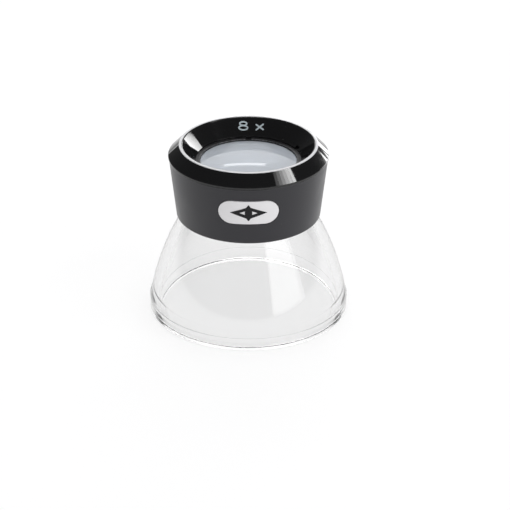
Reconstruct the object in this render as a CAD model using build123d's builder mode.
from build123d import *
import math
import os

# Stand loupe, 8x: a clear bell that stands on the film or print, and a black
# focusing head that screws on the bell's neck and holds a two-lens magnifier.
# Millimetres. +Z is the optical axis, Z = 0 is the surface it stands on, and
# -Y is the side with the badge.

# ---- driving dimensions: clear base ----
foot_r = 23.5             # outside of the foot band
foot_h = 3.1              # height of the foot band
foot_step = 0.15          # how far the band stands out from the bell above it
foot_inner_r = 20.8       # inside of the foot
foot_round = 0.35         # rounding of the foot's outer edges
bell_r = 64.1             # radius of the bell's outward-curved wall
bell_sink = 8.86          # centre of that curve, below the foot
wall = 2.3                # thickness of the bell's wall
neck_r = 15.0             # outside of the neck, at the bottom of its thread
neck_bore_r = 13.5
neck_top = 33.0

# ---- focusing thread: three starts, coarse, so the head moves quickly ----
thread_starts = 3
thread_lead = 9.0         # travel of the head per turn
thread_depth = 0.6        # how far a ridge stands out
thread_root = 1.3         # width of a ridge where it leaves its wall
thread_crest = 0.8        # width of a ridge at its top
thread_sink = 0.15        # how far a ridge is rooted in its wall
neck_thread_low = 26.0    # centre line of the neck's ridges, lower end
neck_thread_rise = 4.6
lug_low = 25.95           # centre line of the collar's ridges, lower end
lug_rise = 1.75

# ---- damping ring in the neck's groove ----
groove_low = 31.5
groove_h = 1.0
groove_r = 14.3
ring_side_gap = 0.05
ring_fit = 0.05           # running clearance to the groove floor and the bore
ring_round = 0.25

# ---- collar ----
collar_low = 24.2
collar_low_r = 16.85
collar_top = 38.47
collar_top_r = 18.45
collar_bore_r = 15.75
collar_cup_r = 16.0       # bore above the shoulder
shoulder_low = 33.1       # its underside stops on the neck when focused in
shoulder_h = 1.2
shoulder_r = 13.3
edge_break = 0.15         # small bevel along outer edges

# ---- lens cell, lenses, spacer and retaining ring ----
cell_low = 28.2
cell_top = 37.6
cell_r = 13.1
cell_bore_r = 12.35
cell_lip_r = 11.4
cell_lip_h = 0.8
cell_flange_r = 15.9
cell_flange_h = 1.2
lens_r = 12.3
lens_radius = 58.0        # both faces of the eye lens
eye_edge_top = 36.87
eye_edge_h = 1.6
field_radius = 29.1       # domed face of the field lens
field_edge_h = 1.2
spacer_wall = 1.0
retainer_r = 12.33
retainer_bore_r = 11.2
retainer_low = 37.12
retainer_top = 37.55
slot_w = 1.2              # spanner slots across the retaining ring
slot_depth = 0.25

# ---- bezel ----
rim_r = 18.6              # widest part, just above the collar
rim_top = 38.95
crest_top = 41.56
crest_r = 16.0
crest_inner_r = 15.35
crest_round = 0.3
throat_r = 12.2
throat_top = 37.85
throat_low = 37.65
bezel_counterbore_r = 13.2
spigot_r = 15.9
notch_w = 1.4             # spanner notches in the throat
notch_depth = 0.55
notch_h = 0.9
notch_angle = 24.0

# ---- engraved, paint-filled magnification mark on the far side of the dish ----
mark_depth = 0.15
mark_proud = 0.02
mark_r = 13.87            # distance from the axis to the middle of the figure
eight_w = 2.4
eight_h = 2.35
eight_x = -1.25           # middle of the figure, to the side
ex_w = 1.62
ex_h = 1.28
ex_x = 2.65
mark_stroke = 0.36

# ---- badge ----
badge_z = 32.4
badge_w = 13.7
badge_h = 6.0
badge_gap = 0.12          # open line round the plate
badge_depth = 0.35
badge_proud = 0.05
print_h = 0.06            # thickness of the printed emblem
emblem_w = 8.4
emblem_h = 4.2
emblem_lens_w = 1.7
emblem_stroke = 0.8       # height of a ray line where it meets the lens
ray_h = 3.2               # spread of the rays at the lens

# ---- worked out from the above ----
bell_axis_r = foot_r - foot_step - math.sqrt(bell_r**2 - (foot_h + bell_sink) ** 2)


def bell_height(r, radius):
    """Height at which the bell's curve of that radius stands at distance r from the axis."""
    return math.sqrt(radius**2 - (r - bell_axis_r) ** 2) - bell_sink


def bell_half(r_low, z_low, r_high, z_high, radius):
    """A point half way along the bell's curve, by angle, between two points on it."""
    low = math.atan2(z_low + bell_sink, r_low - bell_axis_r)
    high = math.atan2(z_high + bell_sink, r_high - bell_axis_r)
    middle = (low + high) / 2
    return (bell_axis_r + radius * math.cos(middle), radius * math.sin(middle) - bell_sink)


def collar_outer_r(z):
    """Outside radius of the tapered collar at height z."""
    share = (z - collar_low) / (collar_top - collar_low)
    return collar_low_r + share * (collar_top_r - collar_low_r)


def dome(r, radius):
    """How far a spherical face of that radius has dropped at distance r from its apex."""
    return radius - math.sqrt(radius**2 - r**2)


def ridge_outline():
    """Section of one thread ridge: X points out of its wall, Y runs along the axis."""
    with BuildLine() as outline:
        Polyline(
            (-thread_sink, -thread_root / 2),
            (0, -thread_root / 2),
            (thread_depth, -thread_crest / 2),
            (thread_depth, thread_crest / 2),
            (0, thread_root / 2),
            (-thread_sink, thread_root / 2),
            close=True,
        )
    return outline.edges()


def collar_layer(inner, outer):
    """A tapered ring that follows the collar's face, between two distances outside it."""
    low = badge_z - badge_h
    high = badge_z + badge_h
    with BuildPart() as layer:
        with BuildSketch(Plane.XZ):
            with BuildLine():
                Polyline(
                    (collar_outer_r(low) + inner, low),
                    (collar_outer_r(low) + outer, low),
                    (collar_outer_r(high) + outer, high),
                    (collar_outer_r(high) + inner, high),
                    close=True,
                )
            make_face()
        revolve(axis=Axis.Z)
    return layer.part


def dish_layer(depth, proud):
    """A cone-shaped ring that follows the dish, from below its face to above it."""
    run = crest_inner_r - throat_r
    rise = crest_top - throat_top
    slope = math.hypot(run, rise)
    down = (rise / slope * depth, -run / slope * depth)
    up = (-rise / slope * proud, run / slope * proud)
    with BuildPart() as layer:
        with BuildSketch(Plane.XZ):
            with BuildLine():
                Polyline(
                    (throat_r + down[0], throat_top + down[1]),
                    (crest_inner_r + down[0], crest_top + down[1]),
                    (crest_inner_r + up[0], crest_top + up[1]),
                    (throat_r + up[0], throat_top + up[1]),
                    close=True,
                )
            make_face()
        revolve(axis=Axis.Z)
    return layer.part


os.makedirs("parts", exist_ok=True)

# ============================================================ clear base
bell_foot_r = foot_r - foot_step
inner_radius = bell_r - wall
inner_foot_z = bell_height(foot_inner_r, inner_radius)
neck_z = bell_height(neck_r, bell_r)
bore_z = bell_height(neck_bore_r, inner_radius)
outer_half = bell_half(bell_foot_r, foot_h, neck_r, neck_z, bell_r)
inner_half = bell_half(foot_inner_r, inner_foot_z, neck_bore_r, bore_z, inner_radius)
round_inset = foot_round * (1 - math.sqrt(0.5))

with BuildPart() as neck_ridge:
    with BuildLine() as neck_path:
        Helix(thread_lead, neck_thread_rise, neck_r, center=(0, 0, neck_thread_low))
    with BuildSketch(Plane(neck_path.line @ 0, x_dir=(1, 0, 0), z_dir=neck_path.line % 0)):
        make_face(ridge_outline())
    sweep(path=neck_path.line, is_frenet=True)

with BuildPart() as clear_base:
    with BuildSketch(Plane.XZ):
        with BuildLine():
            Polyline((foot_inner_r, inner_foot_z), (foot_inner_r, 0), (foot_r - foot_round, 0))
            ThreePointArc(
                (foot_r - foot_round, 0),
                (foot_r - round_inset, round_inset),
                (foot_r, foot_round),
            )
            Polyline((foot_r, foot_round), (foot_r, foot_h - foot_step), (bell_foot_r, foot_h))
            ThreePointArc((bell_foot_r, foot_h), outer_half, (neck_r, neck_z))
            Polyline(
                (neck_r, neck_z),
                (neck_r, groove_low),
                (groove_r, groove_low),
                (groove_r, groove_low + groove_h),
                (neck_r, groove_low + groove_h),
                (neck_r, neck_top),
                (neck_bore_r, neck_top),
                (neck_bore_r, bore_z),
            )
            ThreePointArc((neck_bore_r, bore_z), inner_half, (foot_inner_r, inner_foot_z))
        make_face()
    revolve(axis=Axis.Z)
    with PolarLocations(0, thread_starts):
        add(neck_ridge.part)
clear_base.part.label = "clear_base"

# ============================================================ damping ring
ring_in = groove_r + ring_fit
ring_out = collar_bore_r - ring_fit
ring_low = groove_low + ring_side_gap
ring_high = groove_low + groove_h - ring_side_gap

with BuildPart() as damping_ring:
    with BuildSketch(Plane.XZ):
        with Locations(((ring_in + ring_out) / 2, (ring_low + ring_high) / 2)):
            RectangleRounded(ring_out - ring_in, ring_high - ring_low, ring_round)
    revolve(axis=Axis.Z)
damping_ring.part.label = "damping_ring"

# ============================================================ badge recess tool
with BuildSketch(Plane.XZ) as recess_outline:
    with Locations((0, badge_z)):
        SlotOverall(badge_w + 2 * badge_gap, badge_h + 2 * badge_gap)

with BuildPart() as recess_tool:
    add(collar_layer(-badge_depth, 1))
    extrude(recess_outline.sketch, amount=2 * collar_top_r, mode=Mode.INTERSECT)

# ============================================================ collar
# the collar's ridges, three short lugs, run half way between the neck's ridges
start_pitch = thread_lead / thread_starts
lug_turn = (lug_low - neck_thread_low + start_pitch / 2) % start_pitch * 360 / thread_lead

with BuildPart() as lug:
    with BuildLine() as lug_path:
        Helix(thread_lead, lug_rise, collar_bore_r, center=(0, 0, lug_low))
    with BuildSketch(Plane(lug_path.line @ 0, x_dir=(-1, 0, 0), z_dir=lug_path.line % 0)):
        make_face(ridge_outline())
    sweep(path=lug_path.line, is_frenet=True)

with BuildPart() as collar:
    with BuildSketch(Plane.XZ):
        with BuildLine():
            Polyline(
                (collar_bore_r + 2 * edge_break, collar_low),
                (collar_low_r - edge_break, collar_low),
                (collar_outer_r(collar_low + edge_break), collar_low + edge_break),
                (collar_outer_r(collar_top - edge_break), collar_top - edge_break),
                (collar_top_r - edge_break, collar_top),
                (collar_cup_r, collar_top),
                (collar_cup_r, shoulder_low + shoulder_h),
                (shoulder_r, shoulder_low + shoulder_h),
                (shoulder_r, shoulder_low),
                (collar_bore_r, shoulder_low),
                (collar_bore_r, collar_low + 2 * edge_break),
                close=True,
            )
        make_face()
    revolve(axis=Axis.Z)
    with PolarLocations(0, thread_starts, start_angle=lug_turn):
        add(lug.part)
    add(recess_tool.part, mode=Mode.SUBTRACT)
collar.part.label = "collar"

# ============================================================ badge and its printed emblem
with BuildSketch(Plane.XZ) as badge_outline:
    with Locations((0, badge_z)):
        SlotOverall(badge_w, badge_h)

with BuildPart() as badge_plate:
    add(collar_layer(-badge_depth, badge_proud))
    extrude(badge_outline.sketch, amount=2 * collar_top_r, mode=Mode.INTERSECT)
badge_plate.part.label = "badge_plate"

# a lens in section, crossed by rays that leave one focus and meet again at the other
ray_share = 1 - 2 * emblem_stroke / ray_h
lens_arc_r = (emblem_h**2 + emblem_lens_w**2) / (4 * emblem_lens_w)
lens_arc_x = lens_arc_r - emblem_lens_w / 2

with BuildSketch(Plane.XZ) as emblem_lens:
    with Locations((lens_arc_x, badge_z)):
        Circle(lens_arc_r)
    with Locations((-lens_arc_x, badge_z)):
        Circle(lens_arc_r, mode=Mode.INTERSECT)

with BuildSketch(Plane.XZ) as emblem_outline:
    with Locations((0, badge_z)):
        Polygon((-emblem_w / 2, 0), (0, -ray_h / 2), (emblem_w / 2, 0), (0, ray_h / 2))
        Polygon(
            (-emblem_w / 2 * ray_share, 0),
            (0, -ray_h / 2 * ray_share),
            (emblem_w / 2 * ray_share, 0),
            (0, ray_h / 2 * ray_share),
            mode=Mode.SUBTRACT,
        )
    add(emblem_lens.sketch)

with BuildPart() as badge_emblem:
    add(collar_layer(badge_proud, badge_proud + print_h))
    extrude(emblem_outline.sketch, amount=2 * collar_top_r, mode=Mode.INTERSECT)
badge_emblem.part.label = "badge_emblem"

# ============================================================ lens cell
flange_low = shoulder_low + shoulder_h
flange_top = flange_low + cell_flange_h

with BuildPart() as lens_cell:
    with BuildSketch(Plane.XZ):
        with BuildLine():
            Polyline(
                (cell_lip_r, cell_low),
                (cell_r, cell_low),
                (cell_r, flange_low),
                (cell_flange_r, flange_low),
                (cell_flange_r, flange_top),
                (cell_r, flange_top),
                (cell_r, cell_top),
                (cell_bore_r, cell_top),
                (cell_bore_r, cell_low + cell_lip_h),
                (cell_lip_r, cell_low + cell_lip_h),
                close=True,
            )
        make_face()
    revolve(axis=Axis.Z)
lens_cell.part.label = "lens_cell"

# ============================================================ field lens, domed side up
field_low = cell_low + cell_lip_h
field_edge_top = field_low + field_edge_h
field_apex = field_edge_top + dome(lens_r, field_radius)

with BuildPart() as field_lens:
    with BuildSketch(Plane.XZ):
        with BuildLine():
            Polyline((0, field_apex), (0, field_low), (lens_r, field_low), (lens_r, field_edge_top))
            ThreePointArc(
                (lens_r, field_edge_top),
                (lens_r / 2, field_apex - dome(lens_r / 2, field_radius)),
                (0, field_apex),
            )
        make_face()
    revolve(axis=Axis.Z)
field_lens.part.label = "field_lens"

# ============================================================ spacer between the lenses
# its ends meet the domed faces along its inner edges
eye_edge_low = eye_edge_top - eye_edge_h
spacer_bore_r = lens_r - spacer_wall
spacer_low = field_apex - dome(spacer_bore_r, field_radius)
spacer_top = eye_edge_low - dome(lens_r, lens_radius) + dome(spacer_bore_r, lens_radius)

with BuildPart() as lens_spacer:
    with BuildSketch(Plane.XY.offset(spacer_low)):
        Circle(lens_r)
        Circle(spacer_bore_r, mode=Mode.SUBTRACT)
    extrude(amount=spacer_top - spacer_low)
lens_spacer.part.label = "lens_spacer"

# ============================================================ eye lens, domed on both sides
eye_sag = dome(lens_r, lens_radius)
eye_half_sag = eye_sag - dome(lens_r / 2, lens_radius)

with BuildPart() as eye_lens:
    with BuildSketch(Plane.XZ):
        with BuildLine():
            Line((0, eye_edge_top + eye_sag), (0, eye_edge_low - eye_sag))
            ThreePointArc(
                (0, eye_edge_low - eye_sag),
                (lens_r / 2, eye_edge_low - eye_half_sag),
                (lens_r, eye_edge_low),
            )
            Line((lens_r, eye_edge_low), (lens_r, eye_edge_top))
            ThreePointArc(
                (lens_r, eye_edge_top),
                (lens_r / 2, eye_edge_top + eye_half_sag),
                (0, eye_edge_top + eye_sag),
            )
        make_face()
    revolve(axis=Axis.Z)
eye_lens.part.label = "eye_lens"

# ============================================================ retaining ring over the eye lens
with BuildPart() as lens_retaining_ring:
    with BuildSketch(Plane.XY.offset(retainer_low)):
        Circle(retainer_r)
        Circle(retainer_bore_r, mode=Mode.SUBTRACT)
    extrude(amount=retainer_top - retainer_low)
    with BuildSketch(Plane.XY.offset(retainer_top)):
        Rectangle(slot_w, 3 * retainer_r)
    extrude(amount=-slot_depth, mode=Mode.SUBTRACT)
lens_retaining_ring.part.label = "lens_retaining_ring"

# ============================================================ magnification mark
dish_rise = crest_top - throat_top
dish_run = crest_inner_r - throat_r
mark_z = throat_top + (mark_r - throat_r) * dish_rise / dish_run
mark_plane = Plane((0, mark_r, mark_z), x_dir=(1, 0, 0), z_dir=(0, -dish_rise, dish_run))
loop_high = 0.53 * eight_h
loop_low = 0.60 * eight_h

with BuildSketch(mark_plane) as mark_outline:
    with Locations((eight_x, (loop_low - eight_h) / 2)):
        Ellipse(eight_w / 2, loop_low / 2)
        Ellipse(eight_w / 2 - mark_stroke, loop_low / 2 - mark_stroke, mode=Mode.SUBTRACT)
    with Locations((eight_x, (eight_h - loop_high) / 2)):
        Ellipse(0.42 * eight_w, loop_high / 2)
        Ellipse(0.42 * eight_w - mark_stroke, loop_high / 2 - mark_stroke, mode=Mode.SUBTRACT)
    with Locations((ex_x, (ex_h + mark_stroke - eight_h) / 2)):
        lean = math.degrees(math.atan2(ex_h, ex_w))
        SlotCenterToCenter(math.hypot(ex_w, ex_h), mark_stroke, rotation=lean)
        SlotCenterToCenter(math.hypot(ex_w, ex_h), mark_stroke, rotation=-lean)

with BuildPart() as magnification_mark:
    add(dish_layer(mark_depth, mark_proud))
    extrude(mark_outline.sketch, amount=1, both=True, mode=Mode.INTERSECT)
magnification_mark.part.label = "magnification_mark"

with BuildPart() as engraving_tool:
    add(dish_layer(mark_depth, 1))
    extrude(mark_outline.sketch, amount=1, both=True, mode=Mode.INTERSECT)

# ============================================================ bezel
with BuildPart() as eyepiece_bezel:
    with BuildSketch(Plane.XZ):
        with BuildLine():
            Polyline(
                (bezel_counterbore_r, flange_top),
                (spigot_r, flange_top),
                (spigot_r, collar_top),
                (rim_r - edge_break, collar_top),
                (rim_r, collar_top + edge_break),
                (rim_r, rim_top),
                (crest_r, crest_top),
                (crest_inner_r, crest_top),
                (throat_r, throat_top),
                (throat_r, throat_low),
                (bezel_counterbore_r, throat_low),
                close=True,
            )
        make_face()
        fillet(vertices().group_by(Axis.Y)[-1], crest_round)
    revolve(axis=Axis.Z)
    add(engraving_tool.part, mode=Mode.SUBTRACT)
    with BuildSketch(Plane.XY.offset(throat_low)):
        Rectangle(2 * (throat_r + notch_depth), notch_w, rotation=notch_angle)
    extrude(amount=notch_h, mode=Mode.SUBTRACT)
eyepiece_bezel.part.label = "eyepiece_bezel"

# ============================================================ write one file per piece
export_step(clear_base.part, "parts/clear_base.step")
export_step(damping_ring.part, "parts/damping_ring.step")
export_step(collar.part, "parts/collar.step")
export_step(badge_plate.part, "parts/badge_plate.step")
export_step(badge_emblem.part, "parts/badge_emblem.step")
export_step(lens_cell.part, "parts/lens_cell.step")
export_step(field_lens.part, "parts/field_lens.step")
export_step(lens_spacer.part, "parts/lens_spacer.step")
export_step(eye_lens.part, "parts/eye_lens.step")
export_step(lens_retaining_ring.part, "parts/lens_retaining_ring.step")
export_step(magnification_mark.part, "parts/magnification_mark.step")
export_step(eyepiece_bezel.part, "parts/eyepiece_bezel.step")
